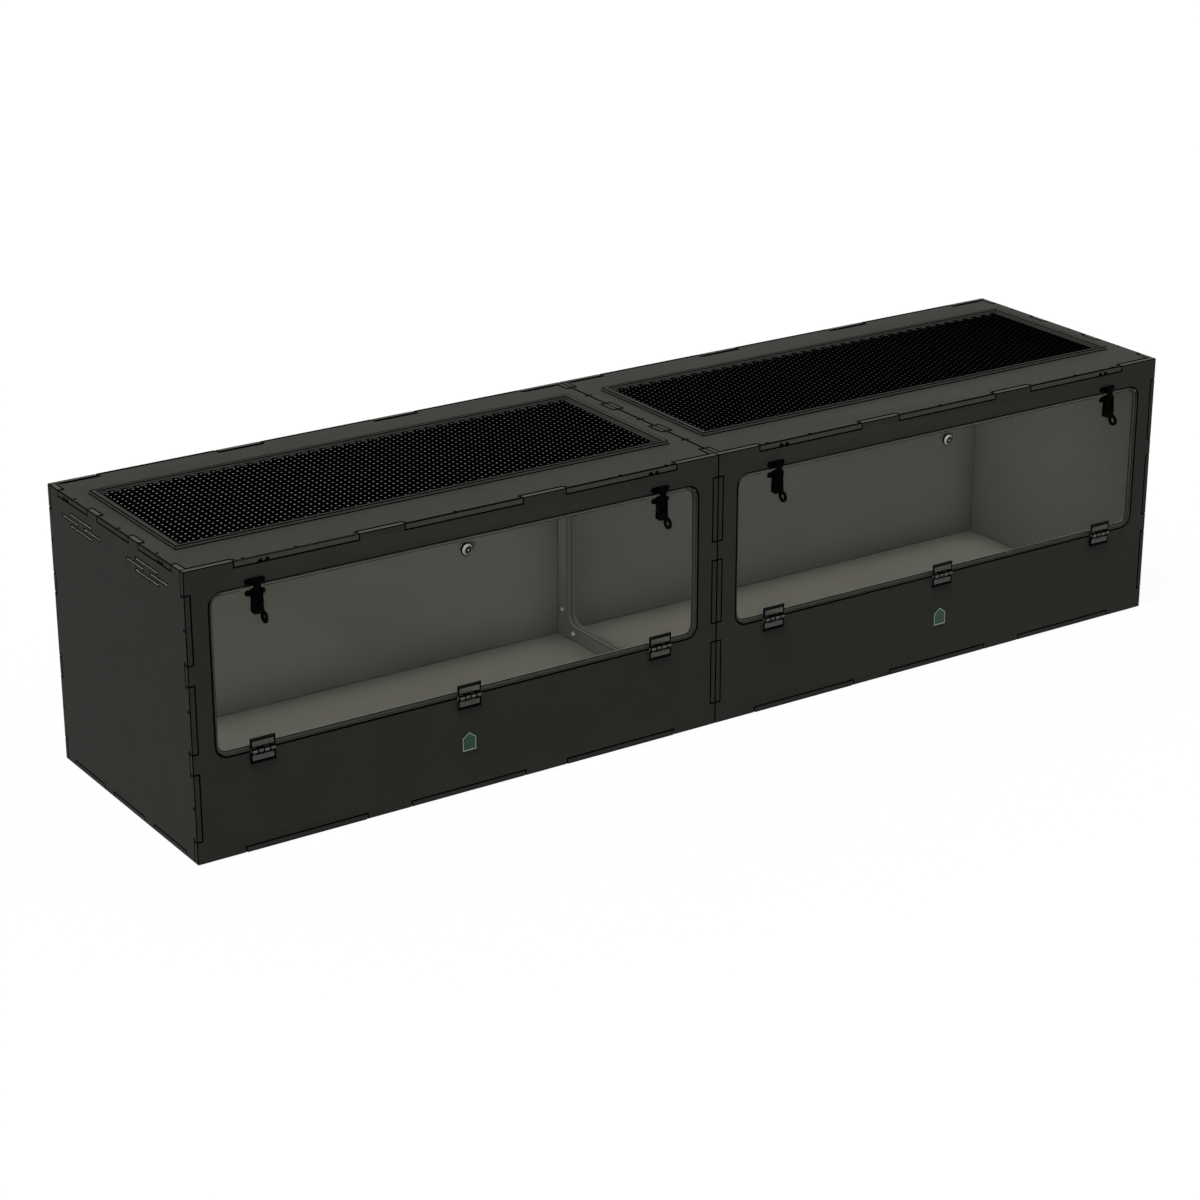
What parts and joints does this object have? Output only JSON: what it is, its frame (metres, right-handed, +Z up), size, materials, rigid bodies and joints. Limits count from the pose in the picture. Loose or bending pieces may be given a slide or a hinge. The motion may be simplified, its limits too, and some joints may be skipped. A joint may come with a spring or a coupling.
{
  "type": "reptile terrarium",
  "caption": "Joined front-opening reptile enclosures with drop-down clear doors, padlockable toggle latches, cam locks, screened tops and vented sides.",
  "frame": {"origin": "middle of the footprint of the two joined boxes, on the surface they stand on", "axes": "+X along the length to the right seen from the doors, +Y from the doors to the back, +Z up"},
  "size_m": [2.4384, 0.6254, 0.6083],
  "materials": {
    "black_sheet": "fine satin",
    "perforated_sheet": "matte",
    "clear_door": "polished",
    "hinge_steel": "satin",
    "black_latch": "satin",
    "lock_chrome": "polished",
    "plain_steel": "satin",
    "badge_green": "gloss",
    "pin_black": "satin"
  },
  "bodies": {
    "housing": {"left_floor_panel": "black_sheet", "left_top_panel": "black_sheet", "left_front_panel": "black_sheet", "left_back_panel": "black_sheet", "left_outer_side_panel": "black_sheet", "left_inner_side_panel": "black_sheet", "left_screen_frame": "black_sheet", "left_screen_sheet": "perforated_sheet", "left_hinge_1_frame_leaf": "hinge_steel", "left_hinge_2_frame_leaf": "hinge_steel", "left_hinge_3_frame_leaf": "hinge_steel", "left_latch_1_keeper": "black_latch", "left_latch_2_keeper": "black_latch", "left_badge": "badge_green", "right_floor_panel": "black_sheet", "right_top_panel": "black_sheet", "right_front_panel": "black_sheet", "right_back_panel": "black_sheet", "right_outer_side_panel": "black_sheet", "right_inner_side_panel": "black_sheet", "right_screen_frame": "black_sheet", "right_screen_sheet": "perforated_sheet", "right_hinge_1_frame_leaf": "hinge_steel", "right_hinge_2_frame_leaf": "hinge_steel", "right_hinge_3_frame_leaf": "hinge_steel", "right_latch_1_keeper": "black_latch", "right_latch_2_keeper": "black_latch", "right_badge": "badge_green", "hinge_pins": "plain_steel", "joining_bolts": "plain_steel", "joining_nuts": "plain_steel", "panel_pins": "pin_black"},
    "left_door_assembly": {"left_door": "clear_door", "left_hinge_1_door_leaf": "hinge_steel", "left_hinge_2_door_leaf": "hinge_steel", "left_hinge_3_door_leaf": "hinge_steel", "left_latch_1_base": "black_latch", "left_latch_2_base": "black_latch", "left_lock_body": "lock_chrome", "left_lock_nut": "plain_steel"},
    "left_lever_1": {"left_latch_1_lever": "black_latch"},
    "left_hook_1": {"left_latch_1_hook": "black_latch"},
    "left_lever_2": {"left_latch_2_lever": "black_latch"},
    "left_hook_2": {"left_latch_2_hook": "black_latch"},
    "left_lock_turner": {"left_lock_plug": "plain_steel", "left_lock_cam": "plain_steel"},
    "right_door_assembly": {"right_door": "clear_door", "right_hinge_1_door_leaf": "hinge_steel", "right_hinge_2_door_leaf": "hinge_steel", "right_hinge_3_door_leaf": "hinge_steel", "right_latch_1_base": "black_latch", "right_latch_2_base": "black_latch", "right_lock_body": "lock_chrome", "right_lock_nut": "plain_steel"},
    "right_lever_1": {"right_latch_1_lever": "black_latch"},
    "right_hook_1": {"right_latch_1_hook": "black_latch"},
    "right_lever_2": {"right_latch_2_lever": "black_latch"},
    "right_hook_2": {"right_latch_2_hook": "black_latch"},
    "right_lock_turner": {"right_lock_plug": "plain_steel", "right_lock_cam": "plain_steel"}
  },
  "joints": [
    {"name": "left_door_hinge", "type": "hinge", "parent": "housing", "child": "left_door_assembly", "pos_m": [-0.6096, -0.307, 0.2115], "axis": [1, 0, 0], "range_deg": [0, 115]},
    {"name": "left_latch_1_lever_turn", "type": "hinge", "parent": "left_door_assembly", "child": "left_lever_1", "pos_m": [-1.0725, -0.3105, 0.532], "axis": [-1, 0, 0], "range_deg": [0, 100]},
    {"name": "left_latch_1_hook_turn", "type": "hinge", "parent": "left_lever_1", "child": "left_hook_1", "pos_m": [-1.0725, -0.309, 0.518], "axis": [1, 0, 0], "range_deg": [0, 112]},
    {"name": "left_latch_2_lever_turn", "type": "hinge", "parent": "left_door_assembly", "child": "left_lever_2", "pos_m": [-0.1467, -0.3105, 0.532], "axis": [-1, 0, 0], "range_deg": [0, 100]},
    {"name": "left_latch_2_hook_turn", "type": "hinge", "parent": "left_lever_2", "child": "left_hook_2", "pos_m": [-0.1467, -0.309, 0.518], "axis": [1, 0, 0], "range_deg": [0, 112]},
    {"name": "left_lock_turn", "type": "hinge", "parent": "left_door_assembly", "child": "left_lock_turner", "pos_m": [-0.6066, -0.301, 0.521], "axis": [0, -1, 0], "range_deg": [0, 90]},
    {"name": "right_door_hinge", "type": "hinge", "parent": "housing", "child": "right_door_assembly", "pos_m": [0.6096, -0.307, 0.2115], "axis": [1, 0, 0], "range_deg": [0, 115]},
    {"name": "right_latch_1_lever_turn", "type": "hinge", "parent": "right_door_assembly", "child": "right_lever_1", "pos_m": [0.1467, -0.3105, 0.532], "axis": [-1, 0, 0], "range_deg": [0, 100]},
    {"name": "right_latch_1_hook_turn", "type": "hinge", "parent": "right_lever_1", "child": "right_hook_1", "pos_m": [0.1467, -0.309, 0.518], "axis": [1, 0, 0], "range_deg": [0, 112]},
    {"name": "right_latch_2_lever_turn", "type": "hinge", "parent": "right_door_assembly", "child": "right_lever_2", "pos_m": [1.0725, -0.3105, 0.532], "axis": [-1, 0, 0], "range_deg": [0, 100]},
    {"name": "right_latch_2_hook_turn", "type": "hinge", "parent": "right_lever_2", "child": "right_hook_2", "pos_m": [1.0725, -0.309, 0.518], "axis": [1, 0, 0], "range_deg": [0, 112]},
    {"name": "right_lock_turn", "type": "hinge", "parent": "right_door_assembly", "child": "right_lock_turner", "pos_m": [0.6126, -0.301, 0.521], "axis": [0, -1, 0], "range_deg": [0, 90]}
  ],
  "couplings": [
    {"joint": "left_latch_1_hook_turn", "follows": "left_latch_1_lever_turn", "ratio": 1.1},
    {"joint": "left_latch_2_hook_turn", "follows": "left_latch_2_lever_turn", "ratio": 1.1},
    {"joint": "right_latch_1_hook_turn", "follows": "right_latch_1_lever_turn", "ratio": 1.1},
    {"joint": "right_latch_2_hook_turn", "follows": "right_latch_2_lever_turn", "ratio": 1.1}
  ]
}
